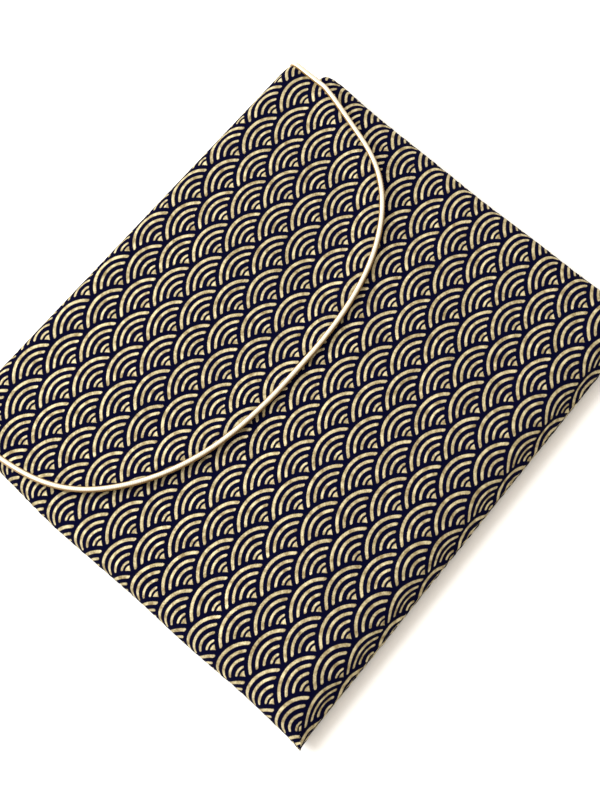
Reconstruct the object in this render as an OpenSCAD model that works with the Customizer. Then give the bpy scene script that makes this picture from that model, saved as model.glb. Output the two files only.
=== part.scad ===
// Padded laptop sleeve: a pocket that is open at one end, a spine that folds over the mouth,
// and a rounded flap edged with piping and held down by a hidden magnetic snap.
// The sleeve lies on its back. X runs along the fold, +Y points at the fold and +Z points up.
// The origin is under the middle of the sleeve, on the surface that it lies on.

/* [Pocket] */
// Width from side seam to side seam
sleeve_w = 330; // [318:1:380]
// Length from the bottom seam to the outside of the fold
sleeve_l = 287.5; // [270:0.5:330]
// How far the pocket's mouth stops short of the outside of the fold
mouth_drop = 20; // [15:0.5:40]
// Height of the space that the laptop fills
laptop_space = 12.5; // [10:0.5:20]

/* [Cloth and padding] */
// Printed outer cloth with its fused backing
outer_t = 0.5; // [0.4:0.1:1]
// Lining cloth
lining_t = 0.4; // [0.3:0.1:1]
// Fleece in the pocket's front and back walls
wall_pad_t = 3; // [3:0.5:8]
// Fleece in the spine and the flap
flap_pad_t = 2.5; // [2.5:0.1:5]

/* [Flap] */
// Width at the fold, between the piping's centre lines
flap_w = 312; // [280:1:312]
// Length from the outside of the fold to the piping at the flap's lowest point
flap_l = 139; // [100:0.5:200]
// Squareness of the flap's curve, where 2 is an ellipse
flap_power = 2.58; // [2:0.02:4]
// Room between the pocket's front and the underside of the flap
flap_gap = 1; // [1:0.1:3]

/* [Piping] */
// Diameter of the round edge that shows
piping_d = 3; // [2.4:0.1:3]
// Diameter of the cord inside it
piping_cord_d = 2; // [1.4:0.1:2]
// Width of the flat flange that is caught in the flap's seam
piping_flange_w = 8; // [5:0.5:12]

/* [Magnetic snap] */
// Diameter of both halves of the snap and of their washers
snap_d = 18; // [14:0.5:18]
// Height of the socket's case
socket_h = 1.8; // [1.6:0.1:1.8]
// Diameter of the stud
stud_d = 5.8; // [4:0.1:6]
// Distance from the flap's lowest point up to the middle of the snap
snap_inset = 28; // [27:1:40]

/* [Mouth stitching] */
// Length of each stitch
stitch_l = 3; // [2:0.5:4]
// Distance from the start of one stitch to the start of the next
stitch_pitch = 4.5; // [4.5:0.5:8]
// Distance from the mouth's edge to the row of stitches
stitch_inset = 6; // [4:0.5:12]

/* [Hidden] */

$fn = 64;
overshoot = 5;

// Heights of the stack, from the surface that the sleeve lies on
wall_t = outer_t + wall_pad_t + lining_t;
pocket_t = laptop_space + 2 * wall_t;
mid_z = pocket_t / 2;
flap_t = outer_t + flap_pad_t + lining_t;
flap_z = pocket_t + flap_gap;
flap_mid_z = flap_z + flap_t / 2;
total_h = flap_z + flap_t;

// Depths from a wall's outside face to where its padding and its lining start
pad_depth = outer_t;
lining_depth = outer_t + wall_pad_t;

// Places along the sleeve
fold_y = sleeve_l / 2;
bottom_y = -sleeve_l / 2;
mouth_y = fold_y - mouth_drop;
side_axis_x = sleeve_w / 2 - mid_z;
bottom_axis_y = bottom_y + mid_z;

// The two fold lines run along the outer corners of the spine. Each of the parts that meet there
// is cut back by this much from the 45 degree plane between them.
fold_clearance = 0.2;

// The flap's cloth stops at the inside of the piping's round edge
piping_r = piping_d / 2;
cloth_half_w = flap_w / 2 - piping_r;
cloth_l = flap_l - piping_r;
curve_steps = 72;
bead_sides = 12;

// The snap
snap_y = fold_y - flap_l + snap_inset;
snap_plate_t = 0.6;
snap_washer_t = 0.4;
snap_patch_t = 0.3;
snap_patch_w = 32;
snap_sheet_t = 0.3;
socket_proud = 0.1;
socket_floor_z = pocket_t + socket_proud - socket_h;
socket_hole_r = stud_d / 2 + 0.5;
magnet_r = snap_d / 2 - 2.2;
magnet_hole_r = socket_hole_r + 0.6;
stud_l = 1.6;
prong_x = snap_d / 3.6;
prong_w = 3;
prong_t = 0.5;
prong_bend_l = 3;
prong_room = 0.1;

// The raised part of each stitch
stitch_w = 0.6;
stitch_h = 0.3;

cloth_colour = "midnightblue";
lining_colour = "blanchedalmond";
fleece_colour = "whitesmoke";
piping_colour = "khaki";
steel_colour = "silver";

// ---- The pocket's walls ----

// A slab with half-round long edges at the sleeve's two sides
module rounded_sides(r) {
    translate([0, 0, mid_z])
        cube([2 * side_axis_x, sleeve_l + 2 * overshoot, 2 * r], center = true);
    for (side = [-1, 1])
        translate([side * side_axis_x, bottom_y - overshoot, mid_z])
            rotate([-90, 0, 0])
                cylinder(r = r, h = sleeve_l + 2 * overshoot);
}

// A slab with a half-round edge at the sleeve's bottom
module rounded_bottom(r) {
    translate([-sleeve_w, bottom_axis_y, mid_z - r])
        cube([2 * sleeve_w, sleeve_l, 2 * r]);
    translate([-sleeve_w, bottom_axis_y, mid_z])
        rotate([0, 90, 0])
            cylinder(r = r, h = 2 * sleeve_w);
}

// The pocket as a solid pillow, at a depth below its outside
module pillow(depth) {
    intersection() {
        rounded_sides(mid_z - depth);
        rounded_bottom(mid_z - depth);
    }
}

// Everything above (side = 1) or below (side = -1) the seam, from one place along Y to another
module wall_room(side, from_y, to_y) {
    translate([-sleeve_w, from_y, side > 0 ? mid_z : mid_z - pocket_t])
        cube([2 * sleeve_w, to_y - from_y, pocket_t]);
}

// One layer of the front (side = 1) or the back (side = -1), between two depths
module wall_layer(side, near, far, from_y, to_y) {
    intersection() {
        difference() {
            pillow(near);
            pillow(far);
        }
        wall_room(side, from_y, to_y);
    }
}

// One layer of the back's tongue, which runs from the mouth up to the fold
module tongue_layer(near, far, half_w) {
    difference() {
        translate([-half_w, mouth_y - outer_t, near])
            cube([2 * half_w, fold_y - mouth_y + outer_t, far - near]);
        past_lower_fold(-fold_clearance);
    }
}

// ---- Half-spaces at the two fold lines ----

// Everything past the plane at 45 degrees through the lower fold line, moved along Y
module past_lower_fold(shift) {
    translate([0, fold_y + shift, 0])
        rotate([-45, 0, 0])
            translate([-sleeve_w, -sleeve_w, 0])
                cube(2 * sleeve_w);
}

// Everything before the plane at 45 degrees through the upper fold line, moved along Y
module past_upper_fold(shift) {
    translate([0, fold_y + shift, total_h])
        rotate([-135, 0, 0])
            translate([-sleeve_w, -sleeve_w, 0])
                cube(2 * sleeve_w);
}

// ---- The flap's outline ----

function power(x, p) = sign(x) * pow(abs(x), p);

// A point of the flap's cloth edge at an angle round the curve, and the way out from it
function curve_point(a, inset) = [
    (cloth_half_w - inset) * power(cos(a), 2 / flap_power),
    fold_y - (cloth_l - inset) * power(sin(a), 2 / flap_power)
];
function curve_out(a) =
    let (out = [
        power(cos(a), 2 - 2 / flap_power) / cloth_half_w,
        -power(sin(a), 2 - 2 / flap_power) / cloth_l
    ])
    out / norm(out);

function curve_angles(skip) = [for (i = [skip:curve_steps - skip]) 180 * i / curve_steps];

// The outline of the flap's cloth, drawn past the fold, where the fold's plane then cuts it
function flap_outline(inset) = concat(
    [[cloth_half_w - inset, fold_y + overshoot]],
    [for (a = curve_angles(0)) curve_point(a, inset)],
    [[-(cloth_half_w - inset), fold_y + overshoot]]
);

// One layer of the flap, between two heights above its underside
module flap_layer(low, high, inset) {
    difference() {
        translate([0, 0, flap_z + low])
            linear_extrude(height = high - low)
                polygon(flap_outline(inset));
        past_upper_fold(-fold_clearance);
    }
}

// One layer of the spine, between two depths in from its outside face
module spine_layer(near, far, half_w) {
    intersection() {
        translate([-half_w, fold_y - far, -overshoot])
            cube([2 * half_w, far - near, total_h + 2 * overshoot]);
        past_lower_fold(fold_clearance);
        past_upper_fold(fold_clearance);
    }
}

// ---- The piping ----

// Cross-sections as [outward, upward] points from the middle of the bead. The lining is below.
function bead_section(r) = [
    for (i = [0:bead_sides - 1])
        let (a = 240 + 360 * i / bead_sides)
        [r * cos(a), r * sin(a)]
];
function cover_section() = concat(
    bead_section(piping_r),
    [
        [-(piping_r + piping_flange_w), piping_r * sin(210)],
        [-(piping_r + piping_flange_w), piping_r * sin(240)]
    ]
);

// A section set at a place, with its own outward and upward directions. At a fold the ring is
// slanted back along the piping, which runs out of the piece in the direction past.
function set_back(up) = flap_t / 2 - up + fold_clearance;
function ring(section, at, out, up, past) = [
    for (p = section) at + out * p[0] + up * p[1] - past * set_back(p[1])
];

// Rings along the flap's edge, from its right-hand end at the fold round to its left-hand end.
// The two slanted end rings take the place of the curve's own first and last points.
function flap_rings(section) = concat(
    [ring(section, [flap_w / 2, fold_y, flap_mid_z], [1, 0, 0], [0, 0, 1], [0, 1, 0])],
    [for (a = curve_angles(1))
        let (out = curve_out(a), at = curve_point(a, 0) + piping_r * out)
        ring(section, [at[0], at[1], flap_mid_z], [out[0], out[1], 0], [0, 0, 1], [0, 0, 0])],
    [ring(section, [-flap_w / 2, fold_y, flap_mid_z], [-1, 0, 0], [0, 0, 1], [0, 1, 0])]
);

// Rings up one end of the spine
function spine_rings(section, side) = [
    for (high = side > 0 ? [0, 1] : [1, 0])
        ring(section, [side * flap_w / 2, fold_y - flap_t / 2, high * total_h],
            [side, 0, 0], [0, 1, 0], [0, 0, 2 * high - 1])
];

function strip(first, count, step, rings) = [
    for (j = [0:rings - 2], i = [0:count - 1])
        let (
            k = (i + 1) % count,
            a = first + j * step + i,
            b = first + j * step + k
        )
        each [[a, a + step, b], [b, a + step, b + step]]
];
function flipped(faces) = [for (f = faces) [for (i = [len(f) - 1:-1:0]) f[i]]];

// A solid bar through a list of rings
module bar(rings) {
    n = len(rings[0]);
    last = n * (len(rings) - 1);
    polyhedron(
        points = [for (r = rings) each r],
        faces = concat(
            strip(0, n, n, len(rings)),
            [[for (i = [0:n - 1]) i]],
            [[for (i = [n - 1:-1:0]) last + i]]
        )
    );
}

// A tube with a flange, through rings that hold its outside and then its inside
module flanged_tube(rings) {
    n = bead_sides;
    step = len(rings[0]);
    last = step * (len(rings) - 1);
    inner = step - n;
    cap = concat(
        [for (i = [0:n - 1]) [i, (i + 1) % n, inner + (i + 1) % n, inner + i]],
        [[n - 1, n, n + 1, 0]]
    );
    outside = [for (i = [0:n + 1]) i];
    polyhedron(
        points = [for (r = rings) each r],
        faces = concat(
            strip_with(outside, step, len(rings)),
            flipped(strip(inner, n, step, len(rings))),
            cap,
            flipped([for (f = cap) [for (i = f) i + last]])
        )
    );
}
function strip_with(loop, step, rings) = [
    for (j = [0:rings - 2], i = [0:len(loop) - 1])
        let (
            a = loop[i] + j * step,
            b = loop[(i + 1) % len(loop)] + j * step
        )
        each [[a, a + step, b], [b, a + step, b + step]]
];

function tube_section() = concat(cover_section(), bead_section(piping_cord_d / 2));

// The room that the flange takes inside the flap
module flange_room() {
    translate([0, 0, flap_z + lining_t - overshoot])
        linear_extrude(height = flap_t / 2 - lining_t - piping_r / 2 + overshoot)
            difference() {
                polygon(flap_outline(-overshoot));
                polygon(flap_outline(piping_flange_w + 1));
            }
}

// ---- The snap ----

module at_snap(z) {
    translate([0, snap_y, z])
        children();
}

// Two prongs that pass through the cloth and are bent out over the washer. They run from the
// height low to the height high, and their bent ends are at the height bend.
module prongs(low, high, bend) {
    for (side = [-1, 1])
        translate([side * prong_x, 0, 0]) {
            translate([-prong_t / 2, -prong_w / 2, low])
                cube([prong_t, prong_w, high - low]);
            translate([side > 0 ? -prong_t / 2 : prong_t / 2 - prong_bend_l, -prong_w / 2, bend])
                cube([prong_bend_l, prong_w, snap_sheet_t]);
        }
}

// Slots for the prongs, through a washer, a patch or cloth
module prong_slots(low, high) {
    for (side = [-1, 1])
        translate([side * prong_x, 0, (low + high) / 2])
            cube([prong_t + 2 * prong_room, prong_w + 2 * prong_room, high - low], center = true);
}

module disc(r, low, high) {
    translate([0, 0, low])
        cylinder(r = r, h = high - low);
}

// Heights below the socket's floor: cloth, patch, washer, then the prongs' bent ends
cup_z = socket_floor_z - outer_t;
front_patch_z = cup_z - snap_patch_t;
front_washer_z = front_patch_z - snap_washer_t;
front_bend_z = front_washer_z - snap_sheet_t;

// Heights above the flap's underside: lining, patch, washer, then the prongs' bent ends
flap_patch_z = flap_z + lining_t;
flap_washer_z = flap_patch_z + snap_patch_t;
flap_bend_z = flap_washer_z + snap_washer_t;

// The dent that the socket presses into the front wall, down to a depth below the cloth
module socket_dent(r, floor_z) {
    at_snap(0)
        disc(r, floor_z, pocket_t + overshoot);
}

module patch(low) {
    translate([-snap_patch_w / 2, -snap_patch_w / 2, low])
        cube([snap_patch_w, snap_patch_w, snap_patch_t]);
}

// ---- Sub-parts of the pocket ----

module front_outer_panel() {
    color(cloth_colour) {
        difference() {
            union() {
                wall_layer(1, 0, pad_depth, bottom_y - overshoot, mouth_y);
                wall_layer(1, 0, lining_depth, mouth_y - outer_t, mouth_y);
            }
            socket_dent(snap_d / 2 + outer_t, cup_z);
        }
        at_snap(0)
            difference() {
                disc(snap_d / 2 + outer_t, cup_z, pocket_t);
                disc(snap_d / 2, socket_floor_z, pocket_t + overshoot);
                prong_slots(cup_z - overshoot, socket_floor_z + overshoot);
            }
    }
}

module front_padding() {
    color(fleece_colour)
        difference() {
            wall_layer(1, pad_depth, lining_depth, bottom_y - overshoot, mouth_y - outer_t);
            socket_dent(snap_d / 2 + outer_t, cup_z);
            at_snap(0) {
                patch(front_patch_z);
                disc(snap_d / 2, front_bend_z, front_patch_z);
            }
        }
}

module front_lining() {
    color(lining_colour)
        wall_layer(1, lining_depth, wall_t, bottom_y - overshoot, mouth_y);
}

module back_outer_panel() {
    color(cloth_colour) {
        wall_layer(-1, 0, pad_depth, bottom_y - overshoot, mouth_y - outer_t);
        difference() {
            wall_layer(-1, 0, lining_depth, mouth_y - outer_t, mouth_y);
            translate([-cloth_half_w, mouth_y - mouth_drop, -overshoot])
                cube([2 * cloth_half_w, 2 * mouth_drop, pocket_t]);
        }
        tongue_layer(0, pad_depth, cloth_half_w);
        difference() {
            tongue_layer(0, lining_depth, cloth_half_w);
            translate([0, 0, pad_depth])
                tongue_room(cloth_half_w - outer_t);
        }
    }
}

module tongue_room(half_w) {
    translate([-half_w, mouth_y - overshoot, 0])
        cube([2 * half_w, mouth_drop + 2 * overshoot, pocket_t]);
}

module back_padding() {
    color(fleece_colour) {
        wall_layer(-1, pad_depth, lining_depth, bottom_y - overshoot, mouth_y - outer_t);
        tongue_layer(pad_depth, lining_depth, cloth_half_w - outer_t);
    }
}

module back_lining() {
    color(lining_colour) {
        wall_layer(-1, lining_depth, wall_t, bottom_y - overshoot, mouth_y - outer_t);
        difference() {
            wall_layer(-1, lining_depth, wall_t, mouth_y - outer_t, mouth_y);
            tongue_room(cloth_half_w);
        }
        tongue_layer(lining_depth, wall_t, cloth_half_w);
    }
}

module mouth_stitching() {
    count = floor(2 * (side_axis_x - stitch_l) / stitch_pitch);
    color(piping_colour)
        for (i = [0:count - 1])
            translate([(i - (count - 1) / 2) * stitch_pitch, mouth_y - stitch_inset, pocket_t])
                translate([-stitch_l / 2, -stitch_w / 2, 0])
                    cube([stitch_l, stitch_w, stitch_h]);
}

module snap_socket_case() {
    color(steel_colour)
        at_snap(0) {
            difference() {
                disc(snap_d / 2, socket_floor_z, socket_floor_z + socket_h);
                disc(socket_hole_r, socket_floor_z + snap_sheet_t, pocket_t + overshoot);
                difference() {
                    disc(magnet_r, socket_floor_z + snap_sheet_t, pocket_t - snap_sheet_t);
                    disc(magnet_hole_r, socket_floor_z, pocket_t);
                }
            }
            prongs(front_bend_z, socket_floor_z, front_bend_z);
        }
}

module snap_magnet() {
    color("dimgray")
        at_snap(0)
            difference() {
                disc(magnet_r, socket_floor_z + snap_sheet_t, pocket_t - snap_sheet_t);
                disc(magnet_hole_r, socket_floor_z, pocket_t);
            }
}

module snap_socket_washer() {
    color(steel_colour)
        at_snap(0)
            difference() {
                disc(snap_d / 2, front_washer_z, front_patch_z);
                prong_slots(front_washer_z - overshoot, front_patch_z + overshoot);
            }
}

module front_snap_patch() {
    color("gainsboro")
        at_snap(0)
            difference() {
                patch(front_patch_z);
                prong_slots(front_patch_z - overshoot, cup_z + overshoot);
            }
}

// ---- Sub-parts of the spine ----

module spine_outer() {
    color(cloth_colour)
        spine_layer(0, outer_t, cloth_half_w);
}

module spine_padding() {
    color(fleece_colour)
        difference() {
            spine_layer(outer_t, outer_t + flap_pad_t, cloth_half_w - outer_t);
            for (side = [-1, 1])
                translate([side * cloth_half_w, fold_y - flap_t + lining_t, total_h / 2])
                    cube([
                        2 * (piping_flange_w + 1),
                        flap_t - 2 * lining_t - piping_r,
                        2 * total_h
                    ], center = true);
        }
}

module spine_lining() {
    color(lining_colour)
        spine_layer(outer_t + flap_pad_t, flap_t, cloth_half_w);
}

module spine_piping_cover() {
    color(piping_colour)
        for (side = [-1, 1])
            flanged_tube(spine_rings(tube_section(), side));
}

module spine_piping_cord() {
    color("white")
        for (side = [-1, 1])
            bar(spine_rings(bead_section(piping_cord_d / 2), side));
}

// ---- Sub-parts of the flap ----

module flap_outer() {
    color(cloth_colour)
        flap_layer(flap_t - outer_t, flap_t, 0);
}

module flap_padding() {
    color(fleece_colour)
        difference() {
            flap_layer(lining_t, flap_t - outer_t, outer_t);
            flange_room();
            at_snap(0) {
                patch(flap_patch_z);
                disc(snap_d / 2, flap_washer_z, flap_bend_z + snap_sheet_t);
            }
        }
}

module flap_lining() {
    color(lining_colour)
        difference() {
            flap_layer(0, lining_t, 0);
            at_snap(0)
                prong_slots(flap_z - overshoot, flap_patch_z + overshoot);
        }
}

module flap_piping_cover() {
    color(piping_colour)
        flanged_tube(flap_rings(tube_section()));
}

module flap_piping_cord() {
    color("white")
        bar(flap_rings(bead_section(piping_cord_d / 2)));
}

module snap_stud_plate() {
    color(steel_colour)
        at_snap(0) {
            disc(snap_d / 2, flap_z - snap_plate_t, flap_z);
            disc(stud_d / 2, flap_z - snap_plate_t - stud_l, flap_z);
            prongs(flap_z - snap_plate_t, flap_bend_z + snap_sheet_t, flap_bend_z);
        }
}

module snap_stud_washer() {
    color(steel_colour)
        at_snap(0)
            difference() {
                disc(snap_d / 2, flap_washer_z, flap_bend_z);
                prong_slots(flap_washer_z - overshoot, flap_bend_z + overshoot);
            }
}

module flap_snap_patch() {
    color("gainsboro")
        at_snap(0)
            difference() {
                patch(flap_patch_z);
                prong_slots(flap_patch_z - overshoot, flap_washer_z + overshoot);
            }
}

front_outer_panel();
front_padding();
front_lining();
back_outer_panel();
back_padding();
back_lining();
mouth_stitching();
snap_socket_case();
snap_magnet();
snap_socket_washer();
front_snap_patch();
spine_outer();
spine_padding();
spine_lining();
spine_piping_cover();
spine_piping_cord();
flap_outer();
flap_padding();
flap_lining();
flap_piping_cover();
flap_piping_cord();
snap_stud_plate();
snap_stud_washer();
flap_snap_patch();
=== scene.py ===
import math

import bpy
import numpy as np
from mathutils import Matrix, Vector


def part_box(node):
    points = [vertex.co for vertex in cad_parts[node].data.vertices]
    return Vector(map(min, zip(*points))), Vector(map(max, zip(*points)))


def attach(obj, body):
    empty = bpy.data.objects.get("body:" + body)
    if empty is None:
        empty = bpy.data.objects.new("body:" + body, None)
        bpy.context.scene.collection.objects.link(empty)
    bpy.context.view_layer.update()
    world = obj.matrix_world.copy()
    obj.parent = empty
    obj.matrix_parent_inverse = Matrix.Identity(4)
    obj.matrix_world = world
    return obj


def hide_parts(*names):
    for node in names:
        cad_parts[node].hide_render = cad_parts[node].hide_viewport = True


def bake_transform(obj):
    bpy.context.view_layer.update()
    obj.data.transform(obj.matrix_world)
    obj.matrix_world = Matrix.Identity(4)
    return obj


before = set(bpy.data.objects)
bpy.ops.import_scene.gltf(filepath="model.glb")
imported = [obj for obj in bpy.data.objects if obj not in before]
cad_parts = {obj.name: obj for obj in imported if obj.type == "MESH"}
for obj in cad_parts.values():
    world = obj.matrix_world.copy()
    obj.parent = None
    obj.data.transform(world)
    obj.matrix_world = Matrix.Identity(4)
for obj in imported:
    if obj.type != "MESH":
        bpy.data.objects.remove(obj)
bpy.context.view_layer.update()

MM = 0.001


def box_mm(node):
    """The lowest and the highest corner of a CAD node's box, in mm."""
    low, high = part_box(node)
    return np.array(low) / MM, np.array(high) / MM


# ---- Sizes, in mm, from the CAD nodes ----

front_low, front_high = box_mm("front_outer_panel")
flap_low, flap_high = box_mm("flap_outer")
lining_low, lining_high = box_mm("flap_lining")
spine_low, spine_high = box_mm("spine_outer")
stud_low, stud_high = box_mm("snap_stud_plate")
patch_low, patch_high = box_mm("flap_snap_patch")

SIDE = front_high[0]
BOTTOM = front_low[1]
MOUTH = front_high[1]
MID = front_low[2]
FOLD = spine_high[1]
TOP = flap_high[2]
FLAP_BASE = lining_low[2]
CLOTH_W = flap_high[0]
CLOTH_L = FOLD - flap_low[1]
SNAP_Y = (stud_low[1] + stud_high[1]) / 2
SNAP_R = (stud_high[1] - stud_low[1]) / 2
PATCH_HALF = (patch_high[0] - patch_low[0]) / 2

OUTER_T = spine_high[1] - spine_low[1]
LINING_T = lining_high[2] - lining_low[2]
WALL_T = box_mm("back_lining")[0][2] + LINING_T
FLAP_T = TOP - FLAP_BASE
EDGE_R = MID
SIDE_AXIS = SIDE - EDGE_R
BOTTOM_AXIS = BOTTOM + EDGE_R
FLAP_POWER = 2.58
BEAD_R = 1.5
BEAD_SHOWN = 1.8
CORD_R = 1.0
CORD_BORE = 0.1
CORNER_R = 6.5
CORNER_Y = FOLD - CORNER_R
ARC = CORNER_R * math.pi / 2
EDGE_ARC = EDGE_R * math.pi / 2
SPINE_MID = TOP / 2
PAD_END = WALL_T - LINING_T
HEM_R = PAD_END / 2
CLEARANCE = 0.05
FILL_BACK = 3.0
LINING_BACK = 1.75
STEP = 2.2
FILL_STEP = 4.5
TURN_STEPS = 8
SHARP_DEG = 50
SIM_STEP = 5.0
SIM_FRAMES = 20
SIM_PRESSURE = 4
SNAP_HOLD = 3
FRONT_CAP = 1.6
FLAP_CAP = 1.0

# The print: fan width, directions of the rows and of the pitch, row pitch, and one fan's tip.
# ROW is the drawn row pitch, in fan widths.
FRONT_PRINT = dict(width=37.85, row_deg=2.16, pitch=11.454, pitch_deg=89.05, tip=(-4.72, -63.3))
FLAP_PRINT = dict(width=37.17, row_deg=1.43, pitch=11.517, pitch_deg=88.76, tip=(-28.29, 54.26))
ROW = 0.305


# ---- Small helpers ----

def smoothstep(low, high, x):
    t = np.clip((x - low) / (high - low), 0, 1)
    return t * t * (3 - 2 * t)


def waves(x, y, count, shortest, longest, seed):
    """A gentle uneven surface: the sum of some sines, about 1 high."""
    rng = np.random.default_rng(seed)
    total = 0
    for _ in range(count):
        length = rng.uniform(shortest, longest)
        turn = rng.uniform(0, math.pi)
        phase = rng.uniform(0, 2 * math.pi)
        total = total + np.sin(
            2 * math.pi * (x * math.cos(turn) + y * math.sin(turn)) / length + phase
        )
    return total / math.sqrt(count)


def waves_along(place, count, shortest, longest, seed):
    """The same along a line."""
    return waves(place, 0 * place, count, shortest, longest, seed)


def print_coords(u, v, lattice):
    """Places on the flat cloth, in fan widths along the rows and across them."""
    row = math.radians(lattice["row_deg"])
    pitch = math.radians(lattice["pitch_deg"])
    basis = np.array([
        [lattice["width"] * math.cos(row), lattice["pitch"] * math.cos(pitch)],
        [lattice["width"] * math.sin(row), lattice["pitch"] * math.sin(pitch)],
    ])
    inverse = np.linalg.inv(basis)
    du, dv = u - lattice["tip"][0], v - lattice["tip"][1]
    along = inverse[0, 0] * du + inverse[0, 1] * dv
    across = inverse[1, 0] * du + inverse[1, 1] * dv
    return np.stack([along, across * ROW, np.zeros_like(along)], -1)


def grid_quads(rows, columns, index=None, flip=False):
    """The faces of a grid of numbered points."""
    if index is None:
        index = np.arange(rows * columns).reshape(rows, columns)
    a, b = index[:-1, :-1], index[:-1, 1:]
    c, d = index[1:, 1:], index[1:, :-1]
    quads = np.stack([a, b, c, d], -1).reshape(-1, 4)
    return quads[:, ::-1] if flip else quads


def add_object(name, data):
    added = bpy.data.objects.new(name, data)
    bpy.context.scene.collection.objects.link(added)
    return added


def make_mesh(name, points, faces, material, coords):
    """A piece from points in mm, each with its place on the cloth for the material."""
    mesh = bpy.data.meshes.new(name)
    mesh.from_pydata((np.asarray(points) * MM).tolist(), [], [list(map(int, f)) for f in faces])
    layer = mesh.attributes.new("print", "FLOAT_VECTOR", "POINT")
    layer.data.foreach_set("vector", np.asarray(coords, np.float32).ravel())
    mesh.shade_smooth()
    mesh.set_sharp_from_angle(angle=math.radians(SHARP_DEG))
    mesh.materials.append(material)
    return add_object(name, mesh)


def shell(name, quads, outer, inner, material, coords):
    """A closed sheet with an outer face, an inner face and a rim round every open edge."""
    outer, inner, coords = (part.reshape(-1, 3) for part in (outer, inner, coords))
    count = len(outer)
    sides = np.concatenate([quads[:, [0, 1]], quads[:, [1, 2]], quads[:, [2, 3]], quads[:, [3, 0]]])
    key = np.sort(sides, 1)
    key = key[:, 0] * count + key[:, 1]
    _, first, times = np.unique(key, return_index=True, return_counts=True)
    rim = sides[first[times == 1]]
    rim = np.stack([rim[:, 1], rim[:, 0], rim[:, 0] + count, rim[:, 1] + count], -1)
    faces = np.concatenate([quads, quads[:, ::-1] + count, rim])
    points = np.concatenate([outer, inner])
    return make_mesh(name, points, faces, material, np.concatenate([coords, coords]))


# ---- Materials ----

class Shader:
    """A material with a Principled shader, and short ways to add nodes to it."""

    def __init__(self, name):
        self.material = bpy.data.materials.new(name)
        self.material.use_nodes = True
        self.tree = self.material.node_tree
        self.tree.nodes.clear()
        output = self.tree.nodes.new("ShaderNodeOutputMaterial")
        self.shader = self.tree.nodes.new("ShaderNodeBsdfPrincipled")
        self.tree.links.new(self.shader.outputs[0], output.inputs[0])

    def put(self, socket, value):
        if isinstance(value, bpy.types.NodeSocket):
            self.tree.links.new(value, socket)
        elif isinstance(value, (tuple, list)) and len(value) == 3 and socket.type == "RGBA":
            socket.default_value = (*value, 1)
        else:
            socket.default_value = value

    def set(self, **values):
        for name, value in values.items():
            self.put(self.shader.inputs[name.replace("_", " ")], value)

    def math(self, operation, a, b=None, c=None):
        node = self.tree.nodes.new("ShaderNodeMath")
        node.operation = operation
        for socket, value in zip(node.inputs, (a, b, c)):
            if value is not None:
                self.put(socket, value)
        return node.outputs[0]

    def mix(self, factor, a, b):
        node = self.tree.nodes.new("ShaderNodeMix")
        node.data_type = "RGBA"
        self.put(node.inputs[0], factor)
        self.put(node.inputs[6], a)
        self.put(node.inputs[7], b)
        return node.outputs[2]

    def range(self, value, from_low, from_high, to_low, to_high, smooth=False):
        node = self.tree.nodes.new("ShaderNodeMapRange")
        node.interpolation_type = "SMOOTHSTEP" if smooth else "LINEAR"
        node.clamp = True
        for socket, v in zip(node.inputs, (value, from_low, from_high, to_low, to_high)):
            self.put(socket, v)
        return node.outputs[0]

    def cloth_place(self):
        node = self.tree.nodes.new("ShaderNodeAttribute")
        node.attribute_name = "print"
        split = self.tree.nodes.new("ShaderNodeSeparateXYZ")
        self.tree.links.new(node.outputs["Vector"], split.inputs[0])
        return node.outputs["Vector"], split.outputs[0], split.outputs[1]

    def object_place(self):
        return self.tree.nodes.new("ShaderNodeTexCoord").outputs["Object"]

    def noise(self, vector, scale, detail, roughness=0.5):
        node = self.tree.nodes.new("ShaderNodeTexNoise")
        self.put(node.inputs["Vector"], vector)
        node.inputs["Scale"].default_value = scale
        node.inputs["Detail"].default_value = detail
        node.inputs["Roughness"].default_value = roughness
        return node.outputs[0]

    def bump(self, height, distance, strength=1.0):
        node = self.tree.nodes.new("ShaderNodeBump")
        node.inputs["Strength"].default_value = strength
        node.inputs["Distance"].default_value = distance
        self.put(node.inputs["Height"], height)
        self.put(self.shader.inputs["Normal"], node.outputs[0])

    def weave(self, x, y, threads):
        """A plain weave: threads over and under in turn, 0 to 1 high."""
        turn = math.pi * threads
        warp = self.math("SINE", self.math("MULTIPLY", x, turn))
        weft = self.math("SINE", self.math("MULTIPLY", y, turn))
        product = self.math("MULTIPLY", warp, weft)
        return self.math("MULTIPLY_ADD", product, 0.5, 0.5)


def hypot(s, a, b):
    """The length of (a, b), as shader nodes."""
    total = s.math("ADD", s.math("MULTIPLY", a, a), s.math("MULTIPLY", b, b))
    return s.math("SQRT", total)


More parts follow.
